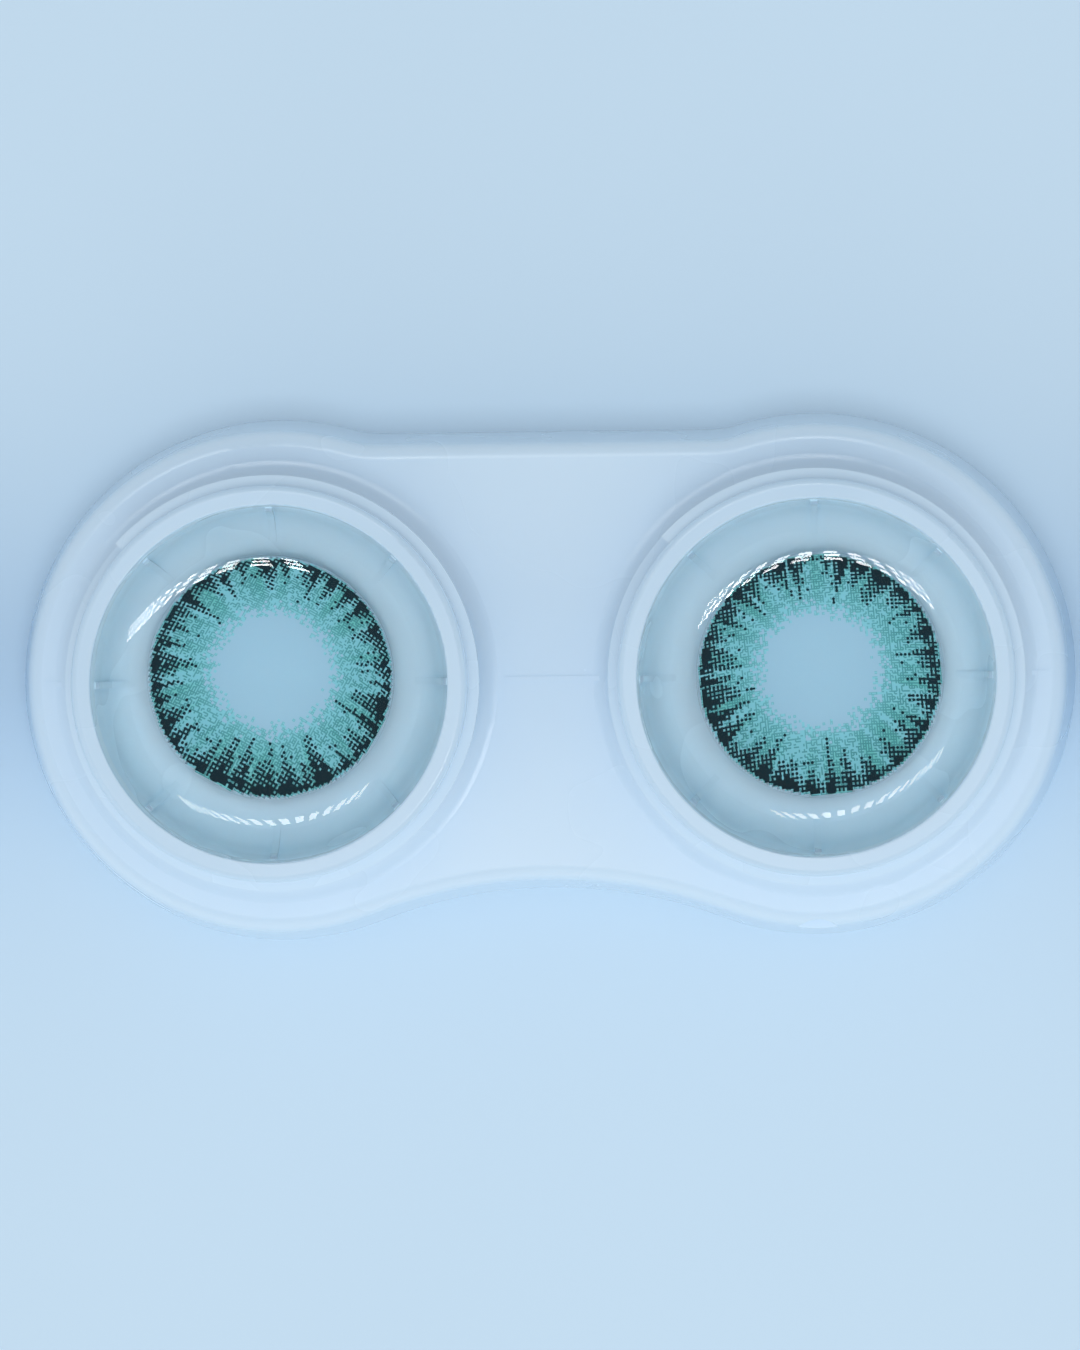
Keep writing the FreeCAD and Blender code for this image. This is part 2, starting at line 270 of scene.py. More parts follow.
def makeTileTree():
    # a flat block of equal tiles, side by side
    group, tree, given, made = newShapeTree("litTiles", [
        ("Length", "Float", 0.2), ("Width", "Float", 0.03), ("Tiles", "Int", 12), ("Rows", "Int", 1),
        ("Tile Fill", "Float", 0.8), ("Row Fill", "Float", 1.0), ("Material", "Material", None)])
    pitch = tree.math("DIVIDE", given["Length"], given["Tiles"])
    rowPitch = tree.math("DIVIDE", given["Width"], given["Rows"])
    column = tree.get("GeometryNodeMeshLine", {"Count": given["Tiles"], "Offset": tree.combine(x=pitch)})
    line = tree.get("GeometryNodeMeshLine", {"Count": given["Rows"], "Offset": tree.combine(y=rowPitch)})
    tile = tree.get("GeometryNodeMeshGrid", {
        "Size X": tree.product(pitch, given["Tile Fill"]), "Vertices X": 2,
        "Size Y": tree.product(rowPitch, given["Row Fill"]), "Vertices Y": 2})
    across = tree.get("GeometryNodeInstanceOnPoints", {"Points": line, "Instance": tile})
    along = tree.get("GeometryNodeInstanceOnPoints", {"Points": column, "Instance": across})
    half = tree.combine(x=tree.product(tree.math("SUBTRACT", given["Length"], pitch), -0.5),
                        y=tree.product(tree.math("SUBTRACT", given["Width"], rowPitch), -0.5))
    real = tree.get("GeometryNodeRealizeInstances", {"Geometry": tree.moved(along, half)})
    tree.plug(tree.covered(real, given["Material"]), made["Geometry"])
    return group


def makeLightPanels(setup, panels):
    # the bars are rows of lit tiles that show as reflections; the fill only reaches what lies under water
    tiles = makeTileTree()
    for name, look in panels.items():
        material, tree = newMaterial(name + "Glow")
        glow = tree.get("ShaderNodeEmission", {"Color": (1, 1, 1, 1), "Strength": look["glow"]})
        tree.add("ShaderNodeOutputMaterial", {"Surface": glow})
        bar = growPiece(name, tiles, {
            "Length": look["length"], "Width": look["width"], "Tiles": look["tiles"], "Rows": look["rows"],
            "Tile Fill": setup["cellFill"], "Row Fill": setup["rowFill"] if look["rows"] > 1 else 1.0,
            "Material": material})
        place = Matrix.Translation((*look["middle"], setup["panelHeight"]))
        bar.data.transform(place @ Matrix.Rotation(math.radians(look["turn"]), 4, "Z"))
        bar.visible_camera = False
        bar.visible_diffuse = False
        bar.visible_shadow = False
        bar.visible_glossy = look["mirrored"]


makeSky(lightSetup)
makeSoftbox(lightSetup)
makeLightPanels(lightSetup, lightPanels)
scene.view_settings.view_transform = "Standard"
print("lights placed")


def makeMouldedGroup():
    # even moulded plastic: faint flow clouds in the tone, fine satin grain in the height
    group, tree, given, made = newGroup(
        "mouldedPlastic",
        [("Colour", "Color", None), ("Cloud", "Float", 0.04), ("Cloud Size", "Float", 90.0),
         ("Grain Size", "Float", 5200.0), ("Gloss Low", "Float", 0.21), ("Gloss High", "Float", 0.30)],
        [("Colour", "Color"), ("Roughness", "Float"), ("Height", "Float")])
    place = tree.add("ShaderNodeTexCoord").outputs["Object"]
    cloud = tree.get("ShaderNodeTexNoise", {"Vector": place, "Scale": given["Cloud Size"], "Detail": 2.0})
    grain = tree.get("ShaderNodeTexNoise", {"Vector": place, "Scale": given["Grain Size"], "Detail": 3.0})
    shade = tree.math("ADD", tree.product(tree.math("SUBTRACT", cloud, 0.5), given["Cloud"]), 1.0)
    tone = tree.get("ShaderNodeHueSaturation", {"Color": given["Colour"], "Value": shade})
    tree.plug(tone, made["Colour"])
    tree.plug(tree.ramp(cloud, 0.3, 0.7, given["Gloss Low"], given["Gloss High"]), made["Roughness"])
    tree.plug(tree.math("ADD", tree.product(grain, 0.25), cloud), made["Height"])
    return group


mouldedGroup = makeMouldedGroup()


casePlastic = {
    "colour": (0.60, 0.765, 0.915, 1.0),
    "paintedLightColour": (0.665, 0.85, 0.975, 1.0),  # painted light: a lighter tone on a filled well's inside, standing in for light
    # painted shade: a darker tone on the top of each rim
    "rimPaintedShade": (0.52, 0.69, 0.85, 1.0),
    "ribPaintedShade": (0.42, 0.57, 0.70, 1.0),    # painted shade on the upper ends of the ribs, under the liquid's edge
    "paintedLightReach": 10.05,       # mm from a well's axis
    "paintedLightTop": 12.0,          # mm above the table, where the painted light is full
    "paintedLightFade": 0.4,          # mm above that, where it has gone
    "rimTop": 0.05,          # mm below the rim, where the rim's painted shade is full
    "rimFade": 0.35,         # mm below the rim, where it starts
    "ribReach": 9.87,        # mm from a well's axis, just inside the wall
    "ribTop": 10.25,         # mm
    "bump": 0.05,
    "glow": 0.12,
}
capPlastic = {"colour": (0.55, 0.74, 0.905, 1.0), "bump": 0.06, "glow": 0.12}
plasticBody = {"bumpDepth": 0.00006, "ior": 1.49, "glowColour": (0.8, 0.95, 1.0), "glowReach": 0.0015}


def paintedWellTone(tree, setup):
    # painted light and shade: the inside of a filled well gets a lighter tone, the ribs' upper ends and the
    # rim's top darker ones
    place = tree.scaled(tree.add("ShaderNodeTexCoord").outputs["Object"], 1 / mm)
    x, y, z = tree.add("ShaderNodeSeparateXYZ", {"Vector": place}).outputs
    aside = tree.math("SUBTRACT", tree.math("ABSOLUTE", x), wells["well_right"].x)
    reach = tree.math("SQRT", tree.math("ADD", tree.product(aside, aside), tree.product(y, y)))
    # painted light: the inside of each well, below its top, takes the lighter tone
    inside = tree.product(tree.math("LESS_THAN", reach, setup["paintedLightReach"]),
                          tree.ramp(z, setup["paintedLightTop"] + setup["paintedLightFade"], setup["paintedLightTop"]))
    tone = tree.mix(inside, setup["colour"], setup["paintedLightColour"])
    # painted shade: the ribs' upper ends take a darker tone, damping their bright glint
    ribShadeMask = tree.product(tree.math("LESS_THAN", reach, setup["ribReach"]),
                         tree.math("GREATER_THAN", z, setup["ribTop"]))
    tone = tree.mix(ribShadeMask, tone, setup["ribPaintedShade"])
    # painted shade: the top of each rim turns darker
    rim = caseHigh.z / mm
    return tree.mix(tree.ramp(z, rim - setup["rimFade"], rim - setup["rimTop"]), tone, setup["rimPaintedShade"])


def makePlastic(name, setup, body):
    material, tree = newMaterial(name)
    moulded = tree.add("ShaderNodeGroup", node_tree=mouldedGroup)
    tree.plug(paintedWellTone(tree, setup) if "paintedLightColour" in setup else setup["colour"], moulded.inputs["Colour"])
    bump = tree.get("ShaderNodeBump", {
        "Height": moulded.outputs["Height"], "Strength": setup["bump"], "Distance": body["bumpDepth"]})
    surface = tree.get("ShaderNodeBsdfPrincipled", {
        "Base Color": moulded.outputs["Colour"], "Roughness": moulded.outputs["Roughness"],
        "Normal": bump, "IOR": body["ior"], "Subsurface Weight": setup["glow"],
        "Subsurface Radius": body["glowColour"], "Subsurface Scale": body["glowReach"]})
    tree.add("ShaderNodeOutputMaterial", {"Surface": surface})
    return material


nodes["case_body"].data.materials[0] = makePlastic("casePlastic", casePlastic, plasticBody)
capMaterial = makePlastic("capPlastic", capPlastic, plasticBody)
print("plastic ready")


def makeTurnedTree(name, screw):
    # turns a profile about the Z axis into a closed body; its first rows may have a material of their own
    inputs = [("Profile", "Geometry", None), ("Spokes", "Int", 96), ("Top Rows", "Int", 0),
              ("Top Material", "Material", None), ("Material", "Material", None)]
    if screw:
        # a screw also climbs, and fades into its root at both ends
        inputs += [(label, "Float", 0.0) for label in ("Turns", "Climb", "Low", "Start", "Fade", "Root")]
    group, tree, given, made = newShapeTree(name, inputs)
    count = tree.add("GeometryNodeAttributeDomainSize", {"Geometry": given["Profile"]}).outputs["Point Count"]
    columns = tree.math("ADD", given["Spokes"], 1.0)
    grid = tree.get("GeometryNodeMeshGrid", {"Vertices X": count, "Vertices Y": columns})
    index = tree.math("ADD", tree.get("GeometryNodeInputIndex"), 0.5)
    row = tree.math("FLOOR", tree.math("DIVIDE", index, columns))
    spoke = tree.math("FLOOR", tree.math("SUBTRACT", index, tree.product(row, columns)))
    way = tree.math("DIVIDE", spoke, given["Spokes"])
    sample = tree.add("GeometryNodeSampleIndex", data_type="FLOAT_VECTOR", domain="POINT")
    tree.plug(given["Profile"], sample.inputs["Geometry"])
    tree.plug(tree.get("GeometryNodeInputPosition"), sample.inputs["Value"])
    tree.plug(row, sample.inputs["Index"])
    spot = sample.outputs[0]
    turn = tree.product(way, math.tau)
    if screw:
        root = tree.combine(x=given["Root"])
        ends = tree.math("MINIMUM", way, tree.math("SUBTRACT", 1.0, way))
        grown = tree.scaled(tree.vector("SUBTRACT", spot, root), tree.ramp(ends, 0.0, given["Fade"]))
        lift = tree.combine(z=tree.math("MULTIPLY_ADD", way, given["Climb"], given["Low"]))
        spot = tree.vector("ADD", tree.vector("ADD", root, grown), lift)
        turn = tree.math("MULTIPLY_ADD", turn, given["Turns"], given["Start"])
    swung = tree.get("ShaderNodeVectorRotate", {"Vector": spot, "Angle": turn}, rotation_type="Z_AXIS")
    placed = tree.get("GeometryNodeSetPosition", {"Geometry": grid, "Position": swung})
    faceRow = tree.math("FLOOR", tree.math("DIVIDE", index, given["Spokes"]))
    kept = tree.add("GeometryNodeCaptureAttribute", {"Geometry": placed}, domain="FACE")
    kept.capture_items.new("BOOLEAN", "On Top")
    tree.plug(tree.math("LESS_THAN", faceRow, given["Top Rows"]), kept.inputs["On Top"])
    closed = tree.get("GeometryNodeMergeByDistance", {"Geometry": kept.outputs["Geometry"], "Distance": weld})
    smooth = tree.get("GeometryNodeSetShadeSmooth", {"Geometry": closed, "Shade Smooth": True})
    real = tree.get("GeometryNodeRealizeInstances", {"Geometry": smooth})
    plain = tree.covered(real, given["Material"])
    tree.plug(tree.covered(plain, given["Top Material"], kept.outputs["On Top"]), made["Geometry"])
    return group


turnedTree = makeTurnedTree("turnedBody", False)


lensShape = {
    "curve": 8.6,          # mm, radius of the hollow side
    "width": 14.2,
    "thick": 0.10,
    "lift": 0.04,          # mm that the shell lies above the lowest point of its solid
    "lip": 0.35,           # how far the rounded edge stands out, as a share of the thickness
    "mapWidth": 16.0,      # mm that the print map spans
    "rings": 72,
    "spokes": 192,
}
lensPlaces = {
    "lens_left": {"tilt": 8.0, "grid": 30.0, "seed": 3.0},      # degrees
    "lens_right": {"tilt": 6.0, "grid": -5.0, "seed": 11.0},
}

# radii are shares of the tint's own radius; dots and weave are measured in steps of their grid
tintLook = {
    "radius": 6.92,                # mm, edge of the printed tint
    "pitch": 0.235,                # mm between printed dots
    "wedges": 31,                  # dark wedges around the lens
    "wander": 2.4,                 # how unevenly they stand
    "wanderGrain": 4.0,
    "streakGrain": 7.0,
    "wedgeTip": 0.56,              # where the longest wedge starts
    "wedgeSpread": 0.24,           # how much later the shortest one starts
    "wedgeThin": 0.09,             # mm, half width at the tip
    "wedgeWide": 0.94,             # mm that it gains by the rim
    "wedgeCurve": 2.0,
    "dotReach": (-0.05, 0.05),     # mm inside a wedge's side, from no dots to all of them
    "dotShare": 0.95,
    "linkReach": (0.04, 0.30),
    "blotReach": (0.26, 0.62),
    "blotShare": 0.80,
    "strayDots": 0.16,             # share of the dots that stand between the wedges
    "strayReach": (0.52, 0.90),
    "rimDots": 0.70,               # share of the dots that the rim has anyway
    "rimReach": (0.88, 0.97),
    "rimBars": 0.50,
    "rimBarReach": (0.90, 0.98),
    "inkEnd": 0.985,               # where the dark ink ends
    "dotEdge": (0.44, 0.30),       # where a dot ends and where it is full
    "barWidth": 0.25,              # half width of the bars that link dots
    "barShare": 0.92,
    "barSoft": 0.06,               # how far a bar's side fades to either hand
    "weaveSteps": 1.6,             # weave steps to one dot step
    "weaveWidth": 0.27,
    "weaveStreak": (0.32, 0.62, 0.25, 0.75),   # streak from and to, share of threads from and to
    "weaveReach": (0.40, 0.75, 0.30, 0.85),    # radius from and to, strength from and to
    "paleStreak": (0.42, 0.66),
    "paleReach": (0.78, 0.50),
    "coatReach": (0.40, 0.62),     # where the coat breaks up into the pupil
    "edge": (1.02, 0.98),
    "coat": 0.94,                  # how opaque the teal coat is
    "pupilPaintedLight": 0.80,                  # painted light: how opaque the pale lit tone over the clear pupil is, hiding the print's shadow below
    "outside": 0.03,
    "roughness": 0.45,
    "ior": 1.06,
    "dark": srgb(10, 40, 48),
    "teal": srgb(118, 200, 194),
    "tealDeep": srgb(72, 146, 146),
    "tealPale": srgb(138, 206, 214),
    # painted light: the pale, lit tone laid over the clear pupil
    "pupil": srgb(176, 213, 231),
}
clearGelLook = {"colour": srgb(190, 222, 240), "opaque": (0.02, 0.3), "facing": 0.25, "roughness": 0.2}


def makeFieldGroup(look):
    # how densely dark ink lies at a point of the lens, in mm from its middle: wedges that taper inward
    group, tree, given, made = newGroup(
        "inkField", [("Point", "Vector", None), ("Seed", "Float", 0.0)],
        [(label, "Float") for label in ("Dots", "Links", "Solid", "Radius", "Streak")])
    radius = tree.math("DIVIDE", tree.vector("LENGTH", given["Point"], out=1), look["radius"])
    outward = tree.vector("NORMALIZE", given["Point"])
    seeded = tree.combine(z=given["Seed"])

    def around(scale, detail):
        spot = tree.vector("ADD", tree.scaled(outward, scale), seeded)
        return tree.get("ShaderNodeTexNoise", {"Vector": spot, "Scale": 1.0, "Detail": detail})

    flat = tree.add("ShaderNodeSeparateXYZ", {"Vector": given["Point"]}).outputs
    turn = tree.math("DIVIDE", tree.math("ARCTAN2", flat[1], flat[0]), math.tau)
    wander = tree.product(around(look["wanderGrain"], 1.0), look["wander"])
    place = tree.math("MULTIPLY_ADD", turn, look["wedges"], wander)
    aside = tree.math("ABSOLUTE", tree.math("SUBTRACT", tree.math("FRACT", place), 0.5))
    aside = tree.product(tree.product(aside, radius), math.tau * look["radius"] / look["wedges"])
    number = tree.math("ADD", tree.math("FLOOR", place), given["Seed"])
    chance = tree.add("ShaderNodeTexWhiteNoise", {"W": number}, noise_dimensions="1D").outputs["Value"]
    tip = tree.math("MULTIPLY_ADD", chance, look["wedgeSpread"], look["wedgeTip"])
    past = tree.math("SUBTRACT", radius, tip)
    along = tree.math("DIVIDE", past, tree.math("SUBTRACT", 1.0, tip), clamp=True)
    widened = tree.math("POWER", along, look["wedgeCurve"])
    width = tree.math("MULTIPLY_ADD", widened, look["wedgeWide"], look["wedgeThin"])
    inside = tree.math("SUBTRACT", width, aside)
    begun = tree.math("GREATER_THAN", radius, tip)
    kept = tree.product(begun, tree.math("LESS_THAN", radius, look["inkEnd"]))
    stray = tree.product(tree.ramp(radius, *look["strayReach"]), look["strayDots"])
    stray = tree.math("MAXIMUM", stray, tree.product(tree.ramp(radius, *look["rimReach"]), look["rimDots"]))
    dots = tree.math("MAXIMUM", tree.ramp(inside, *look["dotReach"], 0.0, look["dotShare"]), stray)
    rimBars = tree.ramp(radius, *look["rimBarReach"], 0.0, look["rimBars"])
    links = tree.math("MAXIMUM", tree.ramp(inside, *look["linkReach"]), rimBars)
    tree.plug(tree.product(dots, kept), made["Dots"])
    tree.plug(tree.product(links, kept), made["Links"])
    blots = tree.ramp(inside, *look["blotReach"], 0.0, look["blotShare"])
    tree.plug(tree.product(blots, kept), made["Solid"])
    tree.plug(radius, made["Radius"])
    tree.plug(around(look["streakGrain"], 2.0), made["Streak"])
    return group


fieldGroup = makeFieldGroup(tintLook)


def makePrint(name, look, place, mapWidth):
    # dark dots, bars and blots on a square grid, over a woven teal coat that breaks up at the pupil, where a
    # pale tone is painted as light
    material, tree = newMaterial(name)
    spread = tree.get("ShaderNodeUVMap", uv_map="lensFlat")
    flat = tree.get("ShaderNodeMapping", {"Vector": spread, "Location": (-0.5, -0.5, 0)})
    turned = tree.get("ShaderNodeVectorRotate", {
        "Vector": tree.scaled(flat, mapWidth), "Angle": math.radians(place["grid"])}, rotation_type="Z_AXIS")

    def grid(pitch):
        return tree.add("ShaderNodeSeparateXYZ", {"Vector": tree.scaled(turned, 1 / pitch)}).outputs[:2]

    def around(value):
        return tree.math("FLOOR", tree.math("ADD", value, 0.5))

    def below(value):
        return tree.math("FLOOR", value)

    def off(value, middle):
        return tree.math("ABSOLUTE", tree.math("SUBTRACT", value, middle))

    def layer(x, y, seed, pitch, shift=(0.0, 0.0)):
        # random number and ink field of the grid place (x, y)
        spot = tree.combine(x=x, y=y, z=float(seed))
        chance = tree.get("ShaderNodeTexWhiteNoise", {"Vector": spot}, noise_dimensions="3D")
        middle = tree.combine(x=tree.math("ADD", x, shift[0]), y=tree.math("ADD", y, shift[1]))
        field = tree.add("ShaderNodeGroup", node_tree=fieldGroup)
        tree.plug(tree.scaled(middle, pitch), field.inputs["Point"])
        tree.plug(place["seed"], field.inputs["Seed"])
        return chance, field.outputs

    def marks(x, y, first, pitch, chanceOf, halfWidth):
        # short bars along both directions of a grid
        parts = []
        for bars, offset, shift in (((below(x), around(y)), off(y, around(y)), (0.5, 0.0)),
                                    ((around(x), below(y)), off(x, around(x)), (0.0, 0.5))):
            chance, field = layer(*bars, first + len(parts), pitch, shift)
            shown = tree.math("LESS_THAN", chance, chanceOf(field))
            across = tree.ramp(offset, halfWidth + look["barSoft"], halfWidth - look["barSoft"])
            parts.append(tree.product(shown, across))
        return tree.math("MAXIMUM", *parts)

    pitch = look["pitch"]
    x, y = grid(pitch)
    nodeX, nodeY = around(x), around(y)
    offX, offY = off(x, nodeX), off(y, nodeY)
    offset = tree.math("SQRT", tree.math("ADD", tree.product(offX, offX), tree.product(offY, offY)))
    dotChance, dotField = layer(nodeX, nodeY, 1, pitch)
    dots = tree.math("LESS_THAN", dotChance, dotField["Dots"])
    dots = tree.product(dots, tree.ramp(offset, *look["dotEdge"]))
    bars = marks(x, y, 2, pitch, lambda field: tree.product(field["Links"], look["barShare"]),
                 look["barWidth"])
    blotChance, blotField = layer(below(x), below(y), 4, pitch, (0.5, 0.5))
    blots = tree.math("LESS_THAN", blotChance, blotField["Solid"])
    ink = tree.math("MAXIMUM", tree.math("MAXIMUM", dots, bars), blots, clamp=True)

    fine = pitch / look["weaveSteps"]
    x, y = grid(fine)
    cellChance, cellField = layer(below(x), below(y), 8, fine, (0.5, 0.5))
    radius, streak = cellField["Radius"], cellField["Streak"]
    weave = marks(x, y, 5, fine, lambda field: tree.ramp(field["Streak"], *look["weaveStreak"]),
                  look["weaveWidth"])
    teal = tree.mix(tree.ramp(streak, *look["paleStreak"]), look["tealPale"], look["teal"])
    teal = tree.mix(tree.ramp(radius, *look["paleReach"]), teal, look["tealPale"])
    teal = tree.mix(tree.product(weave, tree.ramp(radius, *look["weaveReach"])), teal, look["tealDeep"])
    colour = tree.mix(ink, teal, look["dark"])

    coat = tree.math("LESS_THAN", cellChance, tree.ramp(radius, *look["coatReach"]))
    coat = tree.product(coat, tree.math("LESS_THAN", radius, 1.0))
    colour = tree.mix(tree.math("MAXIMUM", coat, ink), look["pupil"], colour)
    cover = tree.math("MAXIMUM", tree.product(coat, look["coat"]), ink)
    # painted light: the clear pupil is mostly covered by the pale pupil tone, over the print's shadow
    cover = tree.math("MAXIMUM", cover, tree.ramp(radius, *look["edge"], look["outside"], look["pupilPaintedLight"]))
    surface = tree.get("ShaderNodeBsdfPrincipled", {
        "Base Color": colour, "Alpha": cover, "Roughness": look["roughness"], "IOR": look["ior"]})
    tree.add("ShaderNodeOutputMaterial", {"Surface": surface})
    return material


def makeClearGel(look, ior):
    material, tree = newMaterial("clearGel")
    facing = tree.add("ShaderNodeLayerWeight", {"Blend": look["facing"]}).outputs["Facing"]
    surface = tree.get("ShaderNodeBsdfPrincipled", {
        "Base Color": look["colour"], "Alpha": tree.ramp(facing, 0.0, 1.0, *look["opaque"]),
        "Roughness": look["roughness"], "IOR": ior})
    tree.add("ShaderNodeOutputMaterial", {"Surface": surface})
    return material


def addFlatMap(mesh, width):
    # a map that looks straight down on the piece, with its axis in the middle
    flatMap = mesh.uv_layers.new(name="lensFlat")
    for loop in mesh.loops:
        spot = mesh.vertices[loop.vertex_index].co
        flatMap.data[loop.index].uv = (0.5 + spot.x / width, 0.5 + spot.y / width)


def makeLens(node, shape, place, printed, clear):
    # one closed shell: hollow side up, evenly thick, rounded at its edge
    low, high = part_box(node)
    outerCurve = shape["curve"] + shape["thick"]
    edgeTurn = math.asin(shape["width"] / 2 / outerCurve)

    def spotAt(curve, turn):
        return (curve * math.sin(turn), -curve * math.cos(turn))

    turns = [edgeTurn * k / shape["rings"] for k in range(shape["rings"] + 1)]
    lip = spotAt((shape["curve"] + outerCurve) / 2, edgeTurn + shape["lip"] * shape["thick"] / outerCurve)
    profile = [spotAt(shape["curve"], turn) for turn in turns] + [lip]
    profile += [spotAt(outerCurve, turn) for turn in reversed(turns)]
    piece = growPiece(node + "_gel", turnedTree, {
        "Spokes": shape["spokes"], "Top Rows": shape["rings"],
        "Top Material": printed, "Material": clear}, profile)
    addFlatMap(piece.data, shape["mapWidth"] * mm)
    # the rim's middle leans aside, because the shell tilts about the middle of its curve
    tilt = math.radians(place["tilt"])
    lean = outerCurve * math.cos(edgeTurn) * math.sin(tilt) * mm
    rise = (outerCurve + shape["lift"]) * mm
    middle = Vector(((low.x + high.x) / 2, (low.y + high.y) / 2 - lean, low.z + rise))
    piece.data.transform(Matrix.Translation(middle) @ Matrix.Rotation(tilt, 4, "X"))
    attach(piece, node)
    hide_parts(node)


clearGel = makeClearGel(clearGelLook, tintLook["ior"])
for node, place in lensPlaces.items():
    printed = makePrint(node + "Print", tintLook, place, lensShape["mapWidth"])
    makeLens(node, lensShape, place, printed, clearGel)
print("lenses ready")


waterLook = {"colour": (0.95, 0.98, 1.0, 1.0), "ior": 1.333}
wellShape = {"floor": 2.4, "cornerReach": 4.9, "cornerHeight": 9.5, "cornerRound": 5.0, "steps": 14}   # mm
solutionShape = {
    "level": 9.6,          # mm, flat middle of the surface
    "climb": 1.15,         # mm that the surface climbs at the wall
    "fade": 1.3,           # mm, how quickly it flattens away from the wall
    "bore": 9.92,
    "sink": 0.08,          # mm that the liquid's skin lies inside the plastic
    "under": 0.3,          # mm from the level down to the first row of the wall
    "crowding": 1.6,       # how much closer the rings lie at the wall
    "rings": 60,
    "spokes": 256,
}

# where the liquid clings to the wall more or less: degrees, mm and degrees of spread
solutionCling = {
    "left": ((150.0, -0.36, 45.0), (70.0, 0.14, 40.0)),
    "right": ((145.0, 0.42, 50.0), (52.0, -0.16, 30.0), (295.0, 0.18, 40.0)),
}


def makeWater(look):
    material, tree = newMaterial("lensSolution")
    water = tree.get("ShaderNodeBsdfPrincipled", {
        "Base Color": look["colour"], "Roughness": 0.0, "IOR": look["ior"], "Transmission Weight": 1.0})
    clear = tree.get("ShaderNodeBsdfTransparent", {"Color": look["colour"]})
    shadow = tree.add("ShaderNodeLightPath").outputs["Is Shadow Ray"]
    mixed = tree.get("ShaderNodeMixShader", {0: shadow, 1: water, 2: clear})
    tree.add("ShaderNodeOutputMaterial", {"Surface": mixed})
    return material


def wellProfile(shape, depth):
    # inside of a well as (radius, height) in mm, from its lowest point up to the straight wall
    floor, reach = shape["floor"], shape["cornerReach"]
    height, small = shape["cornerHeight"], shape["cornerRound"]
    fall = height - floor - small
    large = (reach**2 + fall**2) / (2 * fall) + small
    join = math.atan2(height - floor - large, reach)
    steps = shape["steps"]
    points = [(0.0, floor - depth)]
    for k in range(1, steps + 1):
        turn = -math.pi / 2 + (join + math.pi / 2) * k / steps
        points.append(((large + depth) * math.cos(turn), floor + large + (large + depth) * math.sin(turn)))
    for k in range(1, steps + 1):
        turn = join * (1 - k / steps)
        points.append((reach + (small + depth) * math.cos(turn), height + (small + depth) * math.sin(turn)))
    return points


def makeSolution(name, well, shape, clings, material):
    wall = shape["bore"] + shape["sink"]
    under = shape["level"] - shape["under"]

    def surfaceHeight(r, a):
        reach = r - wall
        for turn, extra, spread in clings:
            away = (math.degrees(a) - turn + 180) % 360 - 180
            # only the lower part of the climb shifts, so the edge stays level
            reach += extra * math.exp(-(away / spread) ** 2) * min(1.0, (wall - r) / shape["fade"])
        return shape["level"] + shape["climb"] * math.exp(reach / shape["fade"])

    reaches = [wall * (1 - (1 - k / shape["rings"]) ** shape["crowding"]) for k in range(shape["rings"] + 1)]
    profile = [(r, shape["level"]) for r in reaches]
    profile += [spot for spot in reversed(wellProfile(wellShape, shape["sink"])) if spot[1] < under]
    piece = growPiece(name, turnedTree, {"Spokes": shape["spokes"], "Material": material}, profile)
    for vertex in piece.data.vertices:
        x, y, z = vertex.co / mm
        if z > under:
            vertex.co.z = surfaceHeight(math.hypot(x, y), math.atan2(y, x)) * mm
    piece.data.transform(Matrix.Translation((well.x * mm, well.y * mm, 0)))
    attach(piece, "case")


water = makeWater(waterLook)
for side, clings in solutionCling.items():
    makeSolution("solution_" + side, wells["well_" + side], solutionShape, clings, water)
print("solution poured")


# in mm; each cap's height and outer radius come from its solid
capShape = {
    "wall": 1.30,
    "roof": 1.4,
    "dish": 0.5,
    "dishLand": 1.6,
    "topRound": 0.8,
    "edgeRound": 0.15,
    "dishRound": 0.25,
    "mouthChamfer": 0.4,
    "mouthRound": 0.08,
    "ceilingRound": 0.30,
    "plugReach": 9.92,
    "plugWall": 0.8,
    "plugDepth": 1.3,
    "plugRound": 0.2,
    "plugFoot": 0.25,
    "grips": 48,
    "gripSides": 10,
    "gripRadius": 0.45,
    "gripSink": 0.05,
    "gripMargin": 0.8,
    "threadHeight": 0.6,
    "threadFoot": 1.1,
    "threadCrest": 0.5,
    "threadPitch": 2.4,
    "threadTurns": 1.1,
    "threadLow": 1.0,        # from the mouth up to the middle of the ridge's lower end
    "threadStart": 107.0,    # degrees
    "threadFade": 0.04,      # share of the ridge that fades out, at each end
    "threadRoot": 0.3,       # how deep its foot sits in the wall, as a share of its height
    "letterSize": 7.4,
    "letterProud": 0.3,
    "spokes": 192,
}


def roundedProfile(corners, steps=5, hold=0.04):
    # profile points (radius, height) with each corner (radius, height, round) turned into an arc
    points = []
    for k, (x, z, radius) in enumerate(corners):
        spot = Vector((x, z))
        if not radius:
            points.append(tuple(spot))
            continue
        back = (Vector(corners[k - 1][:2]) - spot).normalized()
        ahead = (Vector(corners[k + 1][:2]) - spot).normalized()
        half = back.angle(ahead) / 2
        reach = radius / math.tan(half)
        middle = spot + (back + ahead).normalized() * (radius / math.sin(half))
        first = spot + back * reach - middle
        last = spot + ahead * reach - middle
        # a point just before and after each arc keeps the flat faces flat
        points.append(tuple(middle + first + back * hold))
        for step in range(steps + 1):
            points.append(tuple(middle + first.lerp(last, step / steps).normalized() * radius))
        points.append(tuple(middle + last + ahead * hold))
    return points


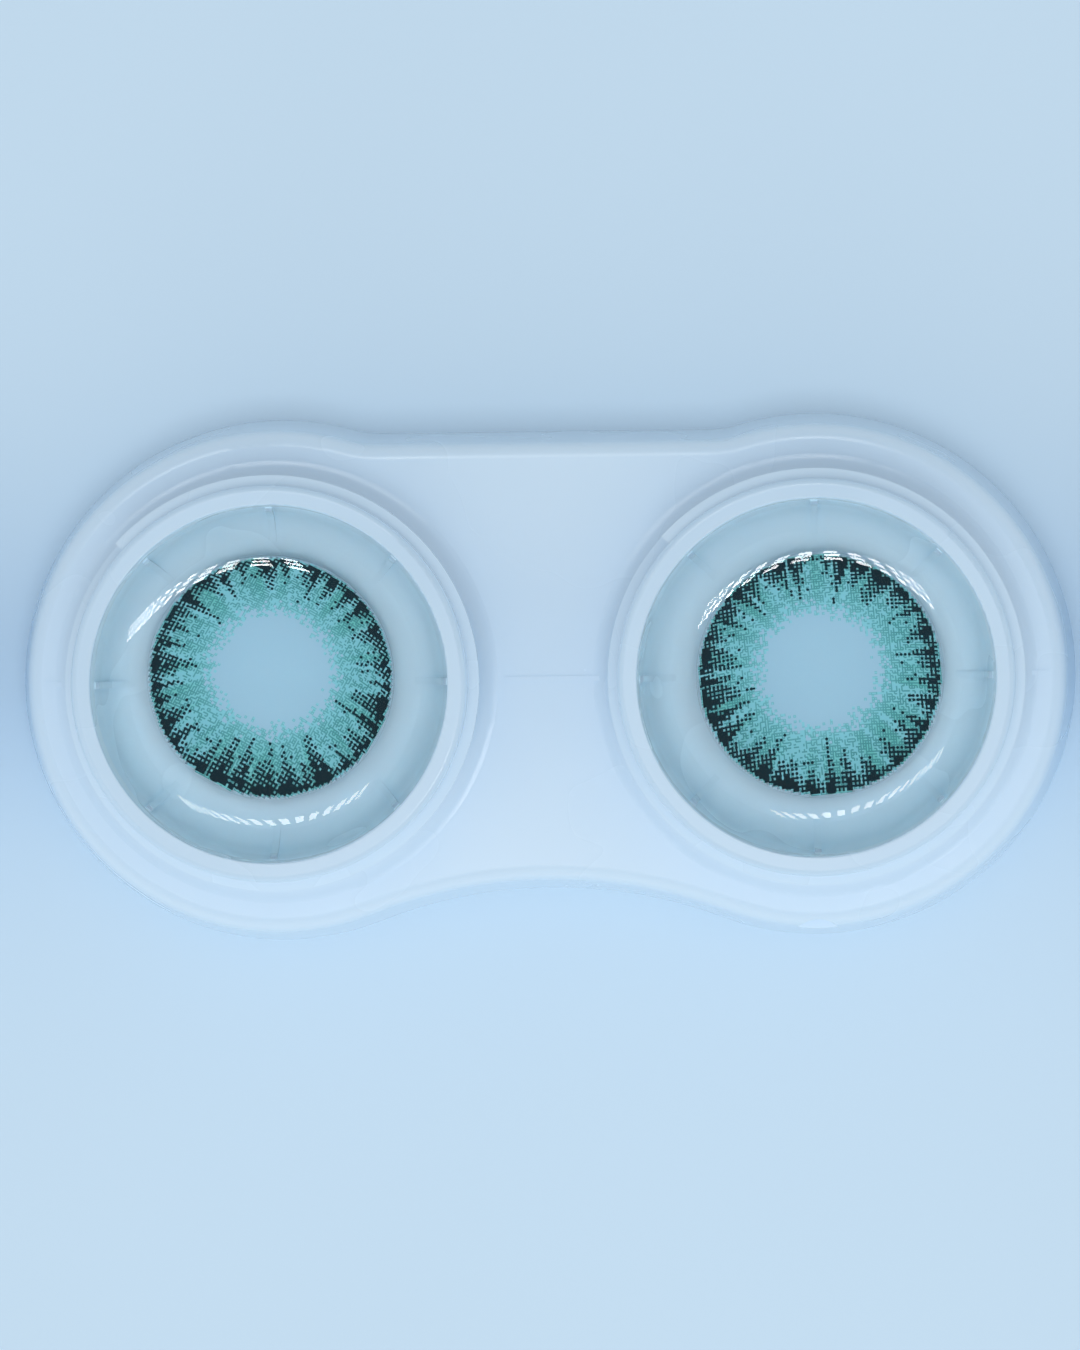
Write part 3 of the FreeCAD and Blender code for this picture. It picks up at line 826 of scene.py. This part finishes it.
def gripRing(tree, given):
    # one rod with domed ends, copied to each point of a ring
    low, high = given["Grip Low"], given["Grip High"]
    radius, sides = given["Grip Radius"], given["Grip Sides"]
    rod = tree.get("GeometryNodeMeshCylinder", {
        "Vertices": sides, "Side Segments": 1, "Radius": radius, "Depth": tree.math("SUBTRACT", high, low)})
    parts = [tree.moved(rod, tree.combine(z=tree.product(tree.math("ADD", high, low), 0.5)))]
    for end in (low, high):
        ball = tree.get("GeometryNodeMeshUVSphere", {"Segments": sides, "Rings": 6, "Radius": radius})
        parts.append(tree.moved(ball, tree.combine(z=end)))
    ring = tree.get("GeometryNodeMeshCircle", {"Vertices": given["Grips"], "Radius": given["Grip Reach"]})
    grips = tree.get("GeometryNodeInstanceOnPoints", {"Points": ring, "Instance": tree.join(*parts)})
    return tree.get("GeometryNodeSetShadeSmooth", {"Geometry": grips, "Shade Smooth": True})


def innerThread(tree, given, screw):
    # five points go round the ridge's section: upper crest, upper root, lower root, lower crest and back
    bore, height = given["Thread Bore"], given["Thread Height"]
    foot = tree.product(given["Thread Foot"], 0.5)
    flat = tree.product(given["Thread Crest"], 0.5)
    crest = tree.math("SUBTRACT", bore, height)
    root = tree.math("MULTIPLY_ADD", height, given["Thread Root"], bore)
    number = tree.math("MODULO", tree.get("GeometryNodeInputIndex"), 4.0)
    onRoot = tree.math("COMPARE", number, 1.5, 0.6)
    side = tree.math("MULTIPLY_ADD", tree.math("LESS_THAN", number, 1.5), 2.0, -1.0)
    reach = tree.math("MULTIPLY_ADD", onRoot, tree.math("SUBTRACT", root, crest), crest)
    rise = tree.product(tree.math("MULTIPLY_ADD", onRoot, tree.math("SUBTRACT", foot, flat), flat), side)
    line = tree.get("GeometryNodeMeshLine", {"Count": 5})
    corner = tree.combine(x=reach, z=rise)
    section = tree.get("GeometryNodeSetPosition", {"Geometry": line, "Position": corner})
    thread = tree.add("GeometryNodeGroup", node_tree=screw)
    tree.plug(section, thread.inputs["Profile"])
    tree.plug(given["Spokes"], thread.inputs["Spokes"])
    for label in ("Turns", "Climb", "Low", "Start", "Fade"):
        tree.plug(given["Thread " + label], thread.inputs[label])
    tree.plug(root, thread.inputs["Root"])
    return thread.outputs[0]


def raisedLetter(tree, given):
    text = tree.add("GeometryNodeStringToCurves", {"String": given["Letter"], "Size": given["Letter Size"]},
                    align_x="CENTER", align_y="MIDDLE")
    text.font = bpy.data.curves.new("letterFont", "FONT").font
    flat = tree.get("GeometryNodeRealizeInstances", {"Geometry": text.outputs["Curve Instances"]})
    flat = tree.get("GeometryNodeFillCurve", {"Curve": flat})
    rise = tree.math("SUBTRACT", given["Letter High"], given["Letter Low"])
    raised = tree.get("GeometryNodeExtrudeMesh", {"Mesh": flat, "Offset Scale": rise, "Individual": False})
    under = tree.get("GeometryNodeFlipFaces", {"Mesh": flat})
    closed = tree.get("GeometryNodeMergeByDistance", {"Geometry": tree.join(raised, under), "Distance": weld})
    return tree.moved(closed, tree.combine(z=given["Letter Low"]))


def makeCapTree():
    # a screw cap: turned shell, ring of grips, inner thread and a letter on the top
    screw = makeTurnedTree("screwRidge", True)
    sizes = ("Grip Reach", "Grip Radius", "Grip Low", "Grip High", "Thread Bore", "Thread Height",
             "Thread Foot", "Thread Crest", "Thread Root", "Thread Climb", "Thread Low", "Thread Turns",
             "Thread Start", "Thread Fade", "Letter Size", "Letter Low", "Letter High")
    inputs = [("Profile", "Geometry", None), ("Spokes", "Int", 192), ("Grips", "Int", 48),
              ("Grip Sides", "Int", 10)]
    inputs += [(label, "Float", 0.0) for label in sizes]
    inputs += [("Letter", "String", "L"), ("Material", "Material", None)]
    group, tree, given, made = newShapeTree("screwCap", inputs)
    shell = tree.add("GeometryNodeGroup", node_tree=turnedTree)
    tree.plug(given["Profile"], shell.inputs["Profile"])
    tree.plug(given["Spokes"], shell.inputs["Spokes"])
    grips = gripRing(tree, given)
    thread = innerThread(tree, given, screw)
    joined = tree.join(shell.outputs[0], grips, thread, raisedLetter(tree, given))
    real = tree.get("GeometryNodeRealizeInstances", {"Geometry": joined})
    tree.plug(tree.covered(real, given["Material"]), made["Geometry"])
    return group


def capProfile(shape, tall, outer, bore):
    # from the middle of the top, over the edge and the mouth, to the middle of the ceiling
    ceiling = tall - shape["roof"] - shape["dish"]
    dishEdge = outer - shape["dishLand"]
    plugLow = ceiling - shape["plugDepth"]
    plugInner = shape["plugReach"] - shape["plugWall"]
    return roundedProfile([
        (0, tall - shape["dish"], 0),
        (dishEdge, tall - shape["dish"], shape["dishRound"]),
        (dishEdge, tall, shape["edgeRound"]),
        (outer, tall, shape["topRound"]),
        (outer, 0, shape["edgeRound"]),
        (bore + shape["mouthChamfer"], 0, shape["mouthRound"]),
        (bore, shape["mouthChamfer"], shape["mouthRound"]),
        (bore, ceiling, shape["ceilingRound"]),
        (shape["plugReach"], ceiling, shape["plugFoot"]),
        (shape["plugReach"], plugLow, shape["plugRound"]),
        (plugInner, plugLow, shape["plugRound"]),
        (plugInner, ceiling, shape["plugFoot"]),
        (0, ceiling, 0)])


def makeCap(node, letter, upsideDown, shape, group, material):
    low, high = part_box(node)
    middle = (low + high) / 2
    tall = (high.z - low.z) / mm
    outer = (high.x - low.x) / 2 / mm - shape["gripRadius"] + shape["gripSink"]
    bore = outer - shape["wall"]
    top = tall - shape["dish"]
    lengths = {
        "Grip Reach": outer - shape["gripSink"], "Grip Radius": shape["gripRadius"],
        "Grip Low": shape["gripMargin"] + shape["gripRadius"],
        "Grip High": tall - shape["topRound"] - shape["gripMargin"],
        "Thread Bore": bore, "Thread Height": shape["threadHeight"], "Thread Foot": shape["threadFoot"],
        "Thread Crest": shape["threadCrest"], "Thread Climb": shape["threadPitch"] * shape["threadTurns"],
        "Thread Low": shape["threadLow"], "Letter Size": shape["letterSize"],
        "Letter Low": top - shape["letterProud"] / 2, "Letter High": top + shape["letterProud"]}
    sizes = {label: value * mm for label, value in lengths.items()}
    sizes.update({
        "Spokes": shape["spokes"], "Grips": shape["grips"], "Grip Sides": shape["gripSides"],
        "Thread Turns": shape["threadTurns"],
        "Thread Start": math.radians(shape["threadStart"]), "Thread Fade": shape["threadFade"],
        "Thread Root": shape["threadRoot"],
        "Letter": letter, "Material": material})
    piece = growPiece(node + "_moulding", group, sizes, capProfile(shape, tall, outer, bore))
    place = Matrix.Translation((middle.x, middle.y, low.z))
    if upsideDown:
        place = place @ Matrix.Translation((0, 0, tall * mm)) @ Matrix.Rotation(math.pi, 4, "X")
    piece.data.transform(place)
    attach(piece, node)
    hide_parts(node)


capTree = makeCapTree()
makeCap("cap_left", "L", True, capShape, capTree, capMaterial)
makeCap("cap_right", "R", False, capShape, capTree, capMaterial)
print("caps moulded")


tableLook = {
    "colour": (0.60, 0.775, 0.925, 1.0),
    "size": 4.0,                  # metres
    "cloudSize": 14.0,
    "cloud": (0.985, 1.015),      # darkest and lightest tone of the clouds
    "roughness": 0.6,
    "specular": 0.25,
}


def makeTable(look):
    material, tree = newMaterial("paleTable")
    place = tree.add("ShaderNodeTexCoord").outputs["Object"]
    cloud = tree.get("ShaderNodeTexNoise", {"Vector": place, "Scale": look["cloudSize"], "Detail": 2.0})
    shade = tree.ramp(cloud, 0.3, 0.7, *look["cloud"])
    tone = tree.get("ShaderNodeHueSaturation", {"Color": look["colour"], "Value": shade})
    surface = tree.get("ShaderNodeBsdfPrincipled", {
        "Base Color": tone, "Roughness": look["roughness"], "Specular IOR Level": look["specular"]})
    tree.add("ShaderNodeOutputMaterial", {"Surface": surface})
    half = look["size"] / 2
    mesh = bpy.data.meshes.new("table")
    corners = [(-half, -half, 0), (half, -half, 0), (half, half, 0), (-half, half, 0)]
    mesh.from_pydata(corners, [], [(0, 1, 2, 3)])
    mesh.materials.append(material)
    table = newObject("table", mesh)
    table.location.z = cadLow.z


makeTable(tableLook)
print("table laid")
